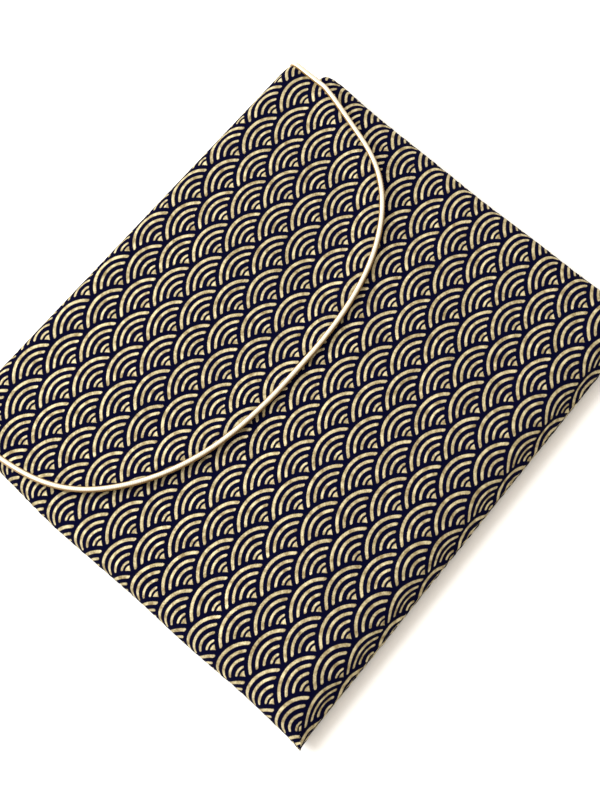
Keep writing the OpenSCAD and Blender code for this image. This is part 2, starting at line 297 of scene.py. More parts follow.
def fan_mask(s, x, y):
    """Below 0 on the gold lines and above it between them, in fan widths: fans of four arcs over
    a small wedge, in rows that overlap. A place belongs to the fan nearest the pocket's bottom
    whose disc holds it."""
    centre_drop, disc_r = 0.081, 0.565
    arc_r, arc_pitch, last_arc = 0.508, 0.1135, 3.0
    arc_half, arc_taper = 0.0240, 0.0022
    arc_stop, wedge_r, wedge_stop = 0.6205, 0.110, 0.602
    y = s.math("ADD", y, centre_drop)
    row = s.math("CEIL", s.math("DIVIDE", s.math("SUBTRACT", y, disc_r), ROW))
    up = s.math("SUBTRACT", y, s.math("MULTIPLY", row, ROW))
    odd = s.math("FLOORED_MODULO", row, 2.0)
    shifted = s.math("MULTIPLY_ADD", odd, -0.5, s.math("ADD", x, 0.5))
    side = s.math("ABSOLUTE", s.math("SUBTRACT", s.math("FRACT", shifted), 0.5))
    behind = s.math("GREATER_THAN", hypot(s, side, up), disc_r)
    side_behind = s.math("SUBTRACT", 0.5, side)
    dx = s.math("ADD", side, s.math("MULTIPLY", behind, s.math("SUBTRACT", side_behind, side)))
    dy = s.math("MULTIPLY_ADD", behind, -ROW, up)
    r = hypot(s, dx, dy)
    to_front = hypot(s, s.math("SUBTRACT", 0.5, dx), s.math("ADD", dy, ROW))
    inward = s.math("DIVIDE", s.math("SUBTRACT", arc_r, r), arc_pitch)
    nearest = s.math("MINIMUM", s.math("MAXIMUM", s.math("ROUND", inward), 0.0), last_arc)
    off_arc = s.math("MULTIPLY", s.math("SUBTRACT", inward, nearest), arc_pitch)
    past_end = s.math("MAXIMUM", s.math("SUBTRACT", arc_stop, to_front), 0.0)
    half = s.math("MULTIPLY_ADD", nearest, -arc_taper, arc_half)
    arc = s.math("SUBTRACT", hypot(s, off_arc, past_end), half)
    wedge = s.math(
        "MAXIMUM", s.math("SUBTRACT", r, wedge_r), s.math("SUBTRACT", wedge_stop, to_front)
    )
    return s.math("MINIMUM", arc, wedge)


def printed_cotton():
    s = Shader("printed_cotton")
    place, x, y = s.cloth_place()
    threads, soft_edge = 62.0, 0.006
    bleed = s.math("MULTIPLY_ADD", s.noise(place, 60.0, 2.0), 2 * soft_edge, -soft_edge)
    mask = s.math("ADD", fan_mask(s, x, y), bleed)
    ink = s.range(mask, -soft_edge, soft_edge, 1.0, 0.0, True)
    weave = s.weave(x, y, threads)
    patch = s.noise(place, 1.1, 3.0)
    # the gold is darker in random patches
    gold_mottle = s.range(s.noise(place, 9.0, 4.0, 0.65), 0.36, 0.62, 0.0, 1.0)
    fine = s.noise(place, 26.0, 3.0, 0.7)
    navy = s.mix(patch, (0.00045, 0.0005, 0.006), (0.0013, 0.0014, 0.0135))
    navy = s.mix(s.math("MULTIPLY", weave, 0.3), navy, (0.0025, 0.0028, 0.021))
    gold = s.mix(gold_mottle, (0.21, 0.16, 0.078), (0.60, 0.53, 0.33))
    gold = s.mix(s.math("MULTIPLY", fine, 0.35), gold, (0.30, 0.22, 0.10))
    s.set(
        Base_Color=s.mix(ink, navy, gold),
        Metallic=s.math("MULTIPLY", ink, 0.35),
        Roughness=s.range(ink, 0.0, 1.0, 0.85, 0.45),
        Specular_IOR_Level=0.02,
    )
    height = s.math("ADD", s.math("MULTIPLY", weave, 0.6), s.math("MULTIPLY", ink, 0.35))
    height = s.math("ADD", height, s.math("MULTIPLY", fine, 0.5))
    s.bump(height, 0.00022, 0.7)
    return s.material


def plain_cotton(name, dark, light):
    """A plain weave on a cloth whose place is in mm."""
    s = Shader(name)
    place, x, y = s.cloth_place()
    threads = 1.6
    weave = s.weave(x, y, threads)
    slub = s.noise(place, 0.35, 4.0, 0.7)
    mottle = s.noise(place, 0.03, 2.0)
    colour = s.mix(s.math("MULTIPLY_ADD", weave, 0.4, s.math("MULTIPLY", slub, 0.5)), dark, light)
    s.set(
        Base_Color=s.mix(s.math("MULTIPLY", mottle, 0.35), colour, dark),
        Roughness=s.range(slub, 0.3, 0.7, 0.95, 0.82),
        Sheen_Weight=0.25,
        Sheen_Roughness=0.4,
    )
    s.bump(s.math("ADD", weave, slub), 0.0002, 0.6)
    return s.material


def piping_satin():
    """Metallic thread, with a painted highlight above and below and painted shade, amber, on the
    two sides, standing in for how light falls round the bead.
    """
    s = Shader("piping_satin")
    place, x, y = s.cloth_place()
    slant = s.math("MULTIPLY_ADD", y, 3.0, s.math("MULTIPLY", x, 0.9))
    rib = s.math("MULTIPLY_ADD", s.math("SINE", s.math("MULTIPLY", slant, 2 * math.pi)), 0.5, 0.5)
    mottle = s.noise(place, 0.35, 3.0)
    # painted light by the place round the bead: painted highlight above and below, painted shade on
    # the two sides
    half_turns = s.math("FRACT", s.math("MULTIPLY", y, 2.0))
    off_top = s.math("ABSOLUTE", s.math("SUBTRACT", half_turns, 0.5))
    side = s.range(off_top, 0.15, 0.27, 0.0, 1.0, True)
    # the satin's own colour with its twill ribs, made pale as a painted highlight; the amber below
    # is painted shade
    satin_painted_highlight = s.mix(s.math("MULTIPLY", rib, 0.6), (0.72, 0.68, 0.57), (0.55, 0.47, 0.32))
    painted_side_shade = s.mix(mottle, (0.22, 0.12, 0.035), (0.33, 0.20, 0.07))
    s.set(
        Base_Color=s.mix(side, satin_painted_highlight, painted_side_shade),
        Metallic=0.3,
        Roughness=s.range(mottle, 0.3, 0.7, 0.30, 0.42),
    )
    s.bump(rib, 0.00012, 0.6)
    return s.material


def fleece():
    s = Shader("fleece")
    place = s.object_place()
    fibres = s.noise(place, 900.0, 5.0, 0.75)
    clumps = s.noise(place, 120.0, 3.0)
    s.set(
        Base_Color=s.mix(clumps, (0.47, 0.46, 0.43), (0.60, 0.59, 0.57)),
        Roughness=s.range(fibres, 0.3, 0.7, 1.0, 0.88),
        Sheen_Weight=0.5,
    )
    s.bump(s.math("ADD", fibres, clumps), 0.0006)
    return s.material


def twisted(name, dark, light, turns):
    """Thread or cord: slanted plies along a length in mm."""
    s = Shader(name)
    place, x, y = s.cloth_place()
    slant = s.math("MULTIPLY_ADD", x, turns, s.math("MULTIPLY", y, 2.0))
    ply = s.math("ABSOLUTE", s.math("SINE", s.math("MULTIPLY", slant, math.pi)))
    fuzz = s.noise(place, 6.0, 3.0)
    s.set(
        Base_Color=s.mix(ply, dark, s.mix(fuzz, dark, light)),
        Roughness=s.range(fuzz, 0.3, 0.7, 0.55, 0.75),
        Sheen_Weight=0.3,
    )
    s.bump(s.math("ADD", ply, fuzz), 0.00015)
    return s.material


def snap_metal():
    s = Shader("snap_metal")
    place = s.object_place()
    ring_pitch = 0.25 * MM
    offset = s.tree.nodes.new("ShaderNodeVectorMath")
    offset.operation = "SUBTRACT"
    s.put(offset.inputs[0], place)
    offset.inputs[1].default_value = (0, SNAP_Y * MM, 0)
    split = s.tree.nodes.new("ShaderNodeSeparateXYZ")
    s.tree.links.new(offset.outputs[0], split.inputs[0])
    radius = hypot(s, split.outputs[0], split.outputs[1])
    rings = s.math("SINE", s.math("MULTIPLY", radius, 2 * math.pi / ring_pitch))
    smudge = s.noise(place, 240.0, 3.0)
    s.set(
        Base_Color=s.mix(smudge, (0.26, 0.255, 0.245), (0.42, 0.41, 0.395)),
        Metallic=1.0,
        Roughness=s.range(smudge, 0.3, 0.7, 0.16, 0.32),
    )
    s.bump(s.math("ADD", rings, s.math("MULTIPLY", smudge, 2.0)), 0.00001)
    return s.material


def bare_magnet():
    s = Shader("magnet")
    place = s.object_place()
    grain = s.noise(place, 1400.0, 4.0)
    s.set(
        Base_Color=s.mix(grain, (0.02, 0.02, 0.022), (0.06, 0.06, 0.062)),
        Metallic=0.4,
        Roughness=s.range(grain, 0.3, 0.7, 0.6, 0.4),
    )
    s.bump(grain, 0.00003)
    return s.material


def stabiliser():
    s = Shader("stabiliser")
    place = s.object_place()
    fibres = s.noise(place, 1600.0, 6.0, 0.8)
    s.set(
        Base_Color=s.mix(fibres, (0.46, 0.46, 0.45), (0.60, 0.60, 0.585)),
        Roughness=s.range(fibres, 0.3, 0.7, 0.95, 0.8),
    )
    s.bump(fibres, 0.0001)
    return s.material


def floor_paper():
    s = Shader("floor_paper")
    grain = s.noise(s.object_place(), 300.0, 3.0)
    s.set(
        Base_Color=s.mix(grain, (0.915, 0.91, 0.905), (0.935, 0.93, 0.925)),
        Roughness=0.9,
        Specular_IOR_Level=0.1,
    )
    return s.material


# ---- Cloth simulation of the padded walls ----

def settle_pad(name, x, y, thickness, cap):
    """Two skins of cloth, tied to each other through the fleece and pushed apart by a little
    pressure, settle between the seams and the snap, which hold them. Gives how far each place of
    the upper skin moved up, in mm and softly capped, on the grid of x and y."""
    held = np.hypot(x, y - SNAP_Y) < SNAP_R + SNAP_HOLD
    held[[0, -1]] = True
    held[:, [0, -1]] = True
    top = np.stack([x, y, 0 * x + thickness], -1).reshape(-1, 3)
    pad = shell(name, grid_quads(*x.shape), top, top - [0, 0, thickness], None, 0 * top)
    pins = pad.vertex_groups.new(name="held")
    pinned = np.where(held.ravel())[0]
    pins.add(np.concatenate([pinned, pinned + len(top)]).tolist(), 1.0, "ADD")
    cloth = pad.modifiers.new("settle", "CLOTH")
    cloth.collision_settings.use_collision = False
    cloth.point_cache.frame_start = 1
    cloth.point_cache.frame_end = SIM_FRAMES
    rules = cloth.settings
    rules.vertex_group_mass = "held"
    rules.use_pressure = True
    rules.uniform_pressure_force = SIM_PRESSURE
    rules.effector_weights.gravity = 0
    rules.shrink_min = -0.01
    rules.bending_stiffness = 0.5
    rules.use_internal_springs = True
    rules.internal_spring_max_length = 2.5 * thickness * MM
    rules.internal_tension_stiffness = 5
    rules.internal_compression_stiffness = 5
    scene = bpy.context.scene
    for number in range(1, SIM_FRAMES + 1):
        scene.frame_set(number)
    settled = pad.evaluated_get(bpy.context.evaluated_depsgraph_get()).to_mesh()
    places = np.empty(len(settled.vertices) * 3)
    settled.vertices.foreach_get("co", places)
    scene.frame_set(1)
    mesh = pad.data
    bpy.data.objects.remove(pad)
    bpy.data.meshes.remove(mesh)
    moved = places.reshape(-1, 3)[: len(top), 2] / MM - top[:, 2]
    return cap * np.tanh(moved.reshape(x.shape) / cap)


def spline_weights(t):
    """The shares of the four nearest grid points in a cubic B-spline."""
    return np.stack([
        (1 - t) ** 3, 3 * t**3 - 6 * t**2 + 4, -3 * t**3 + 3 * t**2 + 3 * t + 1, t**3
    ]) / 6


def smooth_lookup(grid, row, column):
    """A smooth surface that follows a grid of heights, at fractional rows and columns."""
    row = np.clip(row, 0, grid.shape[0] - 1)
    column = np.clip(column, 0, grid.shape[1] - 1)
    r0, c0 = np.floor(row).astype(int), np.floor(column).astype(int)
    wr, wc = spline_weights(row - r0), spline_weights(column - c0)
    total = 0
    for i in range(4):
        for j in range(4):
            r = np.clip(r0 + i - 1, 0, grid.shape[0] - 1)
            c = np.clip(c0 + j - 1, 0, grid.shape[1] - 1)
            total = total + wr[i] * wc[j] * grid[r, c]
    return total


def settled_front():
    """How uneven the padded front wall is, by place."""
    count_x, count_y = int(2 * SIDE_AXIS / SIM_STEP) + 1, int((MOUTH - BOTTOM_AXIS) / SIM_STEP) + 1
    x, y = np.meshgrid(
        np.linspace(-SIDE_AXIS, SIDE_AXIS, count_x), np.linspace(BOTTOM_AXIS, MOUTH, count_y)
    )
    moved = settle_pad("front_pad", x, y, WALL_T, FRONT_CAP)
    return lambda px, py: smooth_lookup(
        moved,
        (py - BOTTOM_AXIS) / (MOUTH - BOTTOM_AXIS) * (count_y - 1),
        (px + SIDE_AXIS) / (2 * SIDE_AXIS) * (count_x - 1),
    )


def settled_flap():
    """How uneven the padded flap is, by place on the square that flap_plan lays over it."""
    count_s, count_t = int(2 * CLOTH_W / SIM_STEP) + 1, int(CLOTH_L / SIM_STEP) + 1
    s, t = np.meshgrid(np.linspace(-1, 1, count_s), np.linspace(0, 1, count_t))
    x, y = flap_plan(s, t)
    moved = settle_pad("flap_pad", x, y, FLAP_T, FLAP_CAP)
    return lambda ps, pt: smooth_lookup(
        moved, pt * (count_t - 1), (ps + 1) / 2 * (count_s - 1)
    )


# ---- The pocket's walls ----

def edge_turn(distance):
    """How far round the half-round edge a place is, from its distance past the flat."""
    return np.clip(distance / EDGE_R, 0, math.pi / 2)


def soft_min(a, b):
    """The smaller of the two, with the crease between them rounded off."""
    low = np.minimum(a, b)
    width = 1.2 * low * (1 - low) + 1e-6
    return low - width / 4 * np.clip(1 - np.abs(a - b) / width, 0, None) ** 2


def snap_calm(x, y):
    """0 at the snap, where the cloth lies flat, and 1 away from it."""
    near, far = SNAP_R + 4, 34
    return smoothstep(near, far, np.hypot(x, y - SNAP_Y))


def front_swell(x, y):
    """How far the padded front stands out of its flat shape."""
    inside = np.cos(np.clip(x / SIDE, -1, 1) * math.pi / 2) ** 0.7
    bare = smoothstep(BOTTOM, BOTTOM + 60, y) * (1 - 0.85 * smoothstep(-40, 25, y))
    loose = 0.35 + 0.65 * (1 - smoothstep(-20, 30, y))
    uneven = ripples["front"](x, y) + 0.12 * waves(x, y, 9, 18, 40, 4)
    edges = smoothstep(0, 25, SIDE - np.abs(x)) * smoothstep(0, 25, y - BOTTOM)
    droop = 3.0 * (1 - smoothstep(0, 20, y - BOTTOM))
    crown = 2.0 * inside * bare
    return (crown - droop + uneven * loose * (0.3 + 0.7 * edges)) * snap_calm(x, y)


def back_swell(x, y):
    """The back rests on the table, so it only lifts a little off it, which counts as inward."""
    return -0.35 * (1 + waves(x, y, 7, 50, 140, 5)) * smoothstep(0, 40, FOLD - y)


def sewn_shift(x, y):
    """How far the real outline lies from a true rectangle: the bottom seam runs a little askew,
    the right-hand side flares towards the mouth and the left-hand side draws in there."""
    up = np.clip(2.0 + (x + 113) * 0.022, 0.6, None) * (1 - smoothstep(BOTTOM, 40, y))
    flare = np.clip(0.02 * (y - 18) - 1.0, -2.3, None) + 1.6 * np.exp(-(((y - 112) / 15) ** 2))
    drawn = 3.4 * smoothstep(50, 105, y)
    return flare * smoothstep(0, SIDE, x) + drawn * smoothstep(0, SIDE, -x), up


def pucker(along, seed):
    """Small gathers along a seam, uneven in place and size."""
    period = 8.5
    drift = 2.2 * waves_along(along, 5, 30, 90, seed)
    size = 0.6 + 0.4 * waves_along(along, 5, 20, 70, seed + 50)
    return size * np.cos(2 * math.pi * along / period + drift)


def wall_points(u, v, depth, front):
    """Places on a wall at some depth below its outside. u and v are lengths along the cloth,
    0 at the middle of the sleeve, and they go on round the half-round edges."""
    side = 1 if front else -1
    turn_x = edge_turn(np.abs(u) - SIDE_AXIS)
    turn_y = edge_turn(BOTTOM_AXIS - v)
    r = EDGE_R - depth
    high = soft_min(np.cos(turn_x), np.cos(turn_y))
    x = np.sign(u) * (np.minimum(np.abs(u), SIDE_AXIS) + r * np.sin(turn_x))
    y = np.maximum(v, BOTTOM_AXIS) - r * np.sin(turn_y)
    z = MID + side * r * high
    on_side = np.cos(turn_x) <= np.cos(turn_y)
    nx = np.where(on_side, np.sign(u) * np.sin(turn_x), 0)
    ny = np.where(on_side, 0, -np.sin(turn_y))
    nz = side * high
    length = np.sqrt(nx**2 + ny**2 + nz**2) + 1e-9
    swell = (front_swell if front else back_swell)(x, y) * smoothstep(0.0, 0.7, high)
    near_seam = np.exp(-((high * EDGE_R) / 5.0) ** 2)
    groove = np.exp(-((high * EDGE_R) / 1.1) ** 2)
    gathers = np.where(on_side, pucker(v, 11 if front else 13), pucker(u, 12 if front else 14))
    out = swell + 0.28 * gathers * near_seam * (1 - 0.7 * groove) - 0.75 * groove
    from_corner = np.hypot(SIDE - np.abs(x), y - BOTTOM)
    point = 1.3 * np.clip(1 - from_corner / 14, 0, 1) ** 2
    shift_x, shift_y = sewn_shift(x, y)
    x = x + out * nx / length + np.sign(x) * point + shift_x
    y = y + out * ny / length - point + shift_y
    z = z + out * nz / length
    wavy = 0.7 * waves_along(v, 6, 40, 130, 21) * np.clip(np.abs(x) / SIDE, 0, 1) ** 6
    return np.stack([x + np.sign(x) * wavy, y, z], -1)


def socket_dent(points, depth_in):
    """The socket presses the front wall in."""
    r = np.hypot(points[..., 0], points[..., 1] - SNAP_Y)
    points = points.copy()
    points[..., 2] -= depth_in * (1 - smoothstep(SNAP_R + 0.3, SNAP_R + 3.5, r))
    return points


def wall_columns(step):
    flat = np.linspace(-SIDE_AXIS, SIDE_AXIS, int(2 * SIDE_AXIS / step) + 1)
    turn = np.linspace(0, EDGE_ARC, TURN_STEPS + 1)[1:]
    return np.concatenate([(-SIDE_AXIS - turn)[::-1], flat, SIDE_AXIS + turn])


def wall_rows(end, step):
    turn = np.linspace(EDGE_ARC, 0, TURN_STEPS + 1)[:-1]
    flat = np.linspace(BOTTOM_AXIS, end, int((end - BOTTOM_AXIS) / step) + 1)
    return np.concatenate([BOTTOM_AXIS - turn, flat])


def mouth_back(u):
    """The mouth's edge draws back at the two side seams."""
    at_seam = 4.0 * (1 - np.cos(edge_turn(np.abs(u) - SIDE_AXIS))) ** 1.5
    beside_seam = 1.5 * smoothstep(100, 155, np.abs(u))
    return at_seam + beside_seam + 0.35 * waves_along(u, 5, 50, 120, 31)


def drawn_back(u, v):
    """v, moved back near the mouth by what mouth_back says."""
    reach = 45
    return v - mouth_back(u) * smoothstep(MOUTH - reach, MOUTH, v)


def hem_rows():
    """Turns round the mouth's rolled edge, from the outside to the lining."""
    return np.linspace(0, math.pi, TURN_STEPS + 1)[1:, None]


def front_layer(name, near, far, material, hem=False, step=STEP, dents=(0, 0), end=0.0):
    """One layer of the front, from the depth near to the depth far."""
    columns = wall_columns(step)
    rows = wall_rows(MOUTH - (HEM_R if hem else end), step)
    u, v = np.meshgrid(columns, rows)
    outer = wall_points(u, drawn_back(u, v), near, True)
    inner = wall_points(u, drawn_back(u, v), far, True)
    outer, inner = socket_dent(outer, dents[0]), socket_dent(inner, dents[1])
    cloth_v = v
    if hem:
        turn = hem_rows()
        last = np.full((len(turn), 1), rows[-1])
        hu = np.repeat(columns[None, :], len(turn), 0)
        parts = []
        for r in (HEM_R, HEM_R - far):
            depth = HEM_R - r * np.cos(turn)
            hv = drawn_back(hu, last + 0 * hu) + r * np.sin(turn)
            parts.append(wall_points(hu, hv, depth, True))
        outer = np.concatenate([outer, parts[0]])
        inner = np.concatenate([inner, parts[1]])
        u = np.concatenate([u, hu])
        cloth_v = np.concatenate([cloth_v, last + HEM_R * turn + 0 * hu])
    shift_x, shift_y = sewn_shift(u, cloth_v)
    coords = (
        print_coords(u + shift_x, cloth_v + shift_y, FRONT_PRINT)
        if hem
        else np.stack([u, cloth_v, 0 * u], -1)
    )
    return shell(name, grid_quads(*u.shape), outer, inner, material, coords)


# ---- The strip that runs from the back over the fold to the flap ----

def pinch(distance, amount):
    """How far a face draws in towards the piping, from its distance to the cloth's edge."""
    reach = 2.6
    return amount * np.exp(-np.clip(distance, 0, None) / reach)


def strip_path(s, depth, upper):
    """Height and place along Y of the spine and its two corners. s is the length along the
    outside, from the start of the lower corner (upper False) or of the upper one (upper True)."""
    turn = np.clip(s / CORNER_R, 0, math.pi / 2)
    past = np.clip(s - ARC, 0, None)
    y = CORNER_Y + (CORNER_R - depth) * np.sin(turn)
    z = CORNER_R - (CORNER_R - depth) * np.cos(turn) + past
    return (y, TOP - z) if upper else (y, z)


def spine_rows():
    """Lengths up to the middle of the spine from the end of a corner."""
    return np.linspace(ARC, ARC + SPINE_MID - CORNER_R, 4)[1:]


def back_layer(name, near, far, material, pinches, hem=False, step=STEP, end=0.0):
    """One layer of the back, its tongue and the lower half of the spine."""
    columns = wall_columns(step)
    inner_columns = np.where(np.abs(columns) <= SIDE_AXIS + 1e-6)[0]
    columns[inner_columns] *= CLOTH_W / SIDE_AXIS
    rows = wall_rows(MOUTH - (HEM_R if hem else end), step)
    u, v = np.meshgrid(columns, rows)
    outer = wall_points(u, drawn_back(u, v), near, False)
    inner = wall_points(u, drawn_back(u, v), far, False)
    faces = [grid_quads(*u.shape)]
    points, coords_v, coords_u = [[outer, inner]], [v], [u]
    count = u.size
    last = np.arange(count).reshape(u.shape)[-1]
    # the tongue and the lower half of the spine
    flat = np.arange(rows[-1] + step, CORNER_Y - step / 2, step)
    bent = np.linspace(0, ARC, TURN_STEPS + 1)
    path_v = np.concatenate([flat, CORNER_Y + bent, CORNER_Y + spine_rows()])
    tu, tv = np.meshgrid(columns[inner_columns], path_v)
    tongue = []
    for depth, amount in ((near, pinches[0]), (far, pinches[1])):
        share = smoothstep(MOUTH - 6, MOUTH + 10, tv)
        thin = depth * (1 + (FLAP_T / WALL_T - 1) * share)
        squeezed = thin + share * pinch(CLOTH_W - np.abs(tu), amount)
        ty, tz = strip_path(tv - CORNER_Y, squeezed, False)
        ty = np.where(tv < CORNER_Y, tv - mouth_back(tu) * (1 - share), ty)
        tz = np.where(tv < CORNER_Y, squeezed, tz)
        lift = -back_swell(tu, ty) * (tv < CORNER_Y)
        tongue.append(np.stack([tu, ty, tz + lift], -1))
    index = count + np.arange(tu.size).reshape(tu.shape)
    index = np.concatenate([last[inner_columns][None], index])
    faces.append(grid_quads(*index.shape, index=index))
    points.append(tongue)
    coords_u.append(tu)
    coords_v.append(tv)
    count += tu.size
    # the rolled edge of the mouth outside the tongue
    if hem:
        ends = np.arange(inner_columns[0] + 1), np.arange(inner_columns[-1], len(columns))
        for part in ends:
            turn = hem_rows()
            hu = np.repeat(columns[part][None, :], len(turn), 0)
            start = np.full_like(hu, rows[-1])
            hv = drawn_back(hu, start)
            rolled = [
                wall_points(hu, hv + r * np.sin(turn), HEM_R - r * np.cos(turn), False)
                for r in (HEM_R, HEM_R - far)
            ]
            index = count + np.arange(hu.size).reshape(hu.shape)
            index = np.concatenate([last[part][None], index])
            faces.append(grid_quads(*index.shape, index=index))
            points.append(rolled)
            coords_u.append(hu)
            coords_v.append(start + HEM_R * turn)
            count += hu.size
    quads = np.concatenate(faces)[:, ::-1]
    outer = np.concatenate([p[0].reshape(-1, 3) for p in points])
    inner = np.concatenate([p[1].reshape(-1, 3) for p in points])
    cu = np.concatenate([c.ravel() for c in coords_u])
    cv = np.concatenate([c.ravel() for c in coords_v])
    if hem:
        over = 2 * CORNER_Y + 2 * ARC + TOP - 2 * CORNER_R
        coords = print_coords(cu, over - cv, FLAP_PRINT)
    else:
        coords = np.stack([cu, cv, 0 * cu], -1)
    return shell(name, quads, outer, inner, material, coords)


def outline_reach(x, y):
    """From (0, CORNER_R) in the flap's own plan, how far the flap's outline is in the direction
    of each place, and how far a superellipse that starts there is."""
    angle = np.arctan2(y, x)
    c, s = np.abs(np.cos(angle)), np.abs(np.sin(angle))
    low, high = np.zeros_like(angle), np.full_like(angle, 2 * CLOTH_W)
    halvings = 40
    for _ in range(halvings):
        mid = (low + high) / 2
        past = (mid * c / CLOTH_W) ** FLAP_POWER + (
            (CORNER_R + mid * s) / CLOTH_L
        ) ** FLAP_POWER > 1
        high, low = np.where(past, mid, high), np.where(past, low, mid)
    plain = (
        (c / CLOTH_W) ** FLAP_POWER + (s / (CLOTH_L - CORNER_R)) ** FLAP_POWER
    ) ** (-1 / FLAP_POWER)
    return low, plain


def flap_plan(s, t):
    """A square's place (s from -1 to 1, t from 0 to 1) laid over the flap's plan."""
    round_s = (1 - np.abs(s) ** FLAP_POWER / 2) ** (1 / FLAP_POWER)
    round_t = (1 - t**FLAP_POWER / 2) ** (1 / FLAP_POWER)
    x = CLOTH_W * s * round_t
    y = (CLOTH_L - CORNER_R) * t * round_s
    true, plain = outline_reach(x, y)
    grow = true / plain
    return x * grow, CORNER_Y - y * grow


def outline_normal(x, y):
    """The outward direction of the flap's outline beside each place."""
    nx = np.sign(x) * (np.abs(x) / CLOTH_W) ** (FLAP_POWER - 1) / CLOTH_W
    ny = -((np.clip(FOLD - y, 0, None) / CLOTH_L) ** (FLAP_POWER - 1)) / CLOTH_L
    length = np.hypot(nx, ny) + 1e-12
    return nx / length, ny / length


def flap_reach(x, y):
    """How near the flap's outline each place is, up to 1 on it, fading out beside the fold, and
    how far round it, in degrees from the right-hand end of the fold."""
    across, down = x / CLOTH_W, np.clip(FOLD - y, 0, None) / CLOTH_L
    turn = np.degrees(np.arctan2(down, across))
    reach = (np.abs(across) ** FLAP_POWER + down**FLAP_POWER) ** (1 / FLAP_POWER)
    return np.clip(reach, 0, 1) * smoothstep(2, 13, turn) * smoothstep(2, 13, 180 - turn), turn


def flap_shift(x, y):
    """How far the real flap's outline lies from a true curve: it is fuller at its left-hand
    corner and draws in on its right-hand side."""
    reach, turn = flap_reach(x, y)
    out = (
        1.6 - 4.2 * np.exp(-(((turn - 24) / 12) ** 2)) + 3.1 * np.exp(-(((turn - 148) / 13) ** 2))
    )
    nx, ny = outline_normal(x, y)
    return out * reach**4 * nx, out * reach**4 * ny


def flap_lift(x, y):
    """The flap's piped edge stands a little off the front, away from the snap's patch."""
    from_patch = np.maximum(np.abs(x), np.abs(y - SNAP_Y)) - PATCH_HALF
    return 2.0 * flap_reach(x, y)[0] ** 12 * smoothstep(1, 12, from_patch)


def edge_distance(x, y):
    """About how far a place on the flap is from the cloth's edge."""
    a = np.abs(x) / CLOTH_W
    b = np.clip(FOLD - y, 0, None) / CLOTH_L
    reach = (a**FLAP_POWER + b**FLAP_POWER) ** (1 / FLAP_POWER)
    slope = np.hypot(
        a ** (FLAP_POWER - 1) / CLOTH_W, b ** (FLAP_POWER - 1) / CLOTH_L
    ) / np.maximum(reach, 0.2) ** (FLAP_POWER - 1)
    return (1 - reach) / np.maximum(slope, 0.5 / CLOTH_W)


def flap_swell(x, y, s, t):
    """How far the padded flap stands out of its flat shape."""
    distance = edge_distance(x, y)
    crown = 1.6 * smoothstep(0, 70, distance) * smoothstep(0, 60, FOLD - y)
    uneven = ripples["flap"](s, t) + 0.12 * waves(x, y, 9, 18, 40, 42)
    return crown + uneven * smoothstep(0, 20, distance) * smoothstep(4, 30, FOLD - y)


def flap_layer(name, near, far, material, pinches, printed=False, step=STEP, swell=(1, 1)):
    """One layer of the flap and the upper half of the spine, by depth below its outside."""
    across = np.linspace(-1, 1, int(2 * CLOTH_W / step) + 1)
    down = np.linspace(0, 1, int(CLOTH_L / step) + 1)
    bent = np.linspace(ARC, 0, TURN_STEPS + 1)[:-1]
    s, t = np.meshgrid(across, down)
    x, y = flap_plan(s, t)
    ps, pv = np.meshgrid(across, np.concatenate([spine_rows()[::-1], bent]))
    spine_x = x[0][None, :] + 0 * ps
    shift_x, shift_y = flap_shift(x, y)
    px, py = x + shift_x, y + shift_y
    both = []
    for depth, amount, share in ((near, pinches[0], swell[0]), (far, pinches[1], swell[1])):
        squeezed = depth + pinch(CLOTH_W - np.abs(spine_x), amount)
        sy, sz = strip_path(pv, squeezed, True)
        spine = np.stack([spine_x, sy, sz], -1)
        z = TOP - depth - pinch(edge_distance(x, y), amount) + share * flap_swell(x, y, s, t)
        z += flap_lift(x, y)
        both.append(np.concatenate([spine, np.stack([px, py, z], -1)]))
    cu = np.concatenate([spine_x, px])
    cv = np.concatenate([CORNER_Y + pv, py])
    coords = (
        print_coords(cu, cv, FLAP_PRINT) if printed else np.stack([cu, cv, 0 * cu], -1)
    )
    return shell(name, grid_quads(*cu.shape, flip=True), *both, material, coords)


# ---- Piping ----

def length_along(line):
    return np.concatenate([[0], np.cumsum(np.linalg.norm(np.diff(line, axis=0), axis=1))])


def outline_line():
    """The bead's middle line round the flap, from its right-hand end to its left-hand end, as
    points with the outward direction of each."""
    step, clear_of_fold = 1.6, 0.5
    angle = np.linspace(0, math.pi, 1500)[1:-1]
    c, s = np.cos(angle), np.sin(angle)
    x = CLOTH_W * np.sign(c) * np.abs(c) ** (2 / FLAP_POWER)
    y = FOLD - CLOTH_L * s ** (2 / FLAP_POWER)
    out = np.stack([
        np.sign(c) * np.abs(c) ** (2 - 2 / FLAP_POWER) / CLOTH_W,
        -(s ** (2 - 2 / FLAP_POWER)) / CLOTH_L,
    ], -1)
    out /= np.linalg.norm(out, axis=1)[:, None]
    line = np.stack([x, y], -1) + np.stack(flap_shift(x, y), -1) + BEAD_R * out
    height = TOP - FLAP_T / 2 + flap_lift(x, y)
    line = np.concatenate([line, height[:, None]], 1)
    keep = line[:, 1] < CORNER_Y - clear_of_fold
    line, out = line[keep], out[keep]
    length = length_along(line)
    even = np.linspace(0, length[-1], int(length[-1] / step) + 1)
    line = np.stack([np.interp(even, length, line[:, i]) for i in (0, 1, 2)], -1)
    out = np.stack([np.interp(even, length, out[:, i]) for i in (0, 1)], -1)
    return line, out / np.linalg.norm(out, axis=1)[:, None]


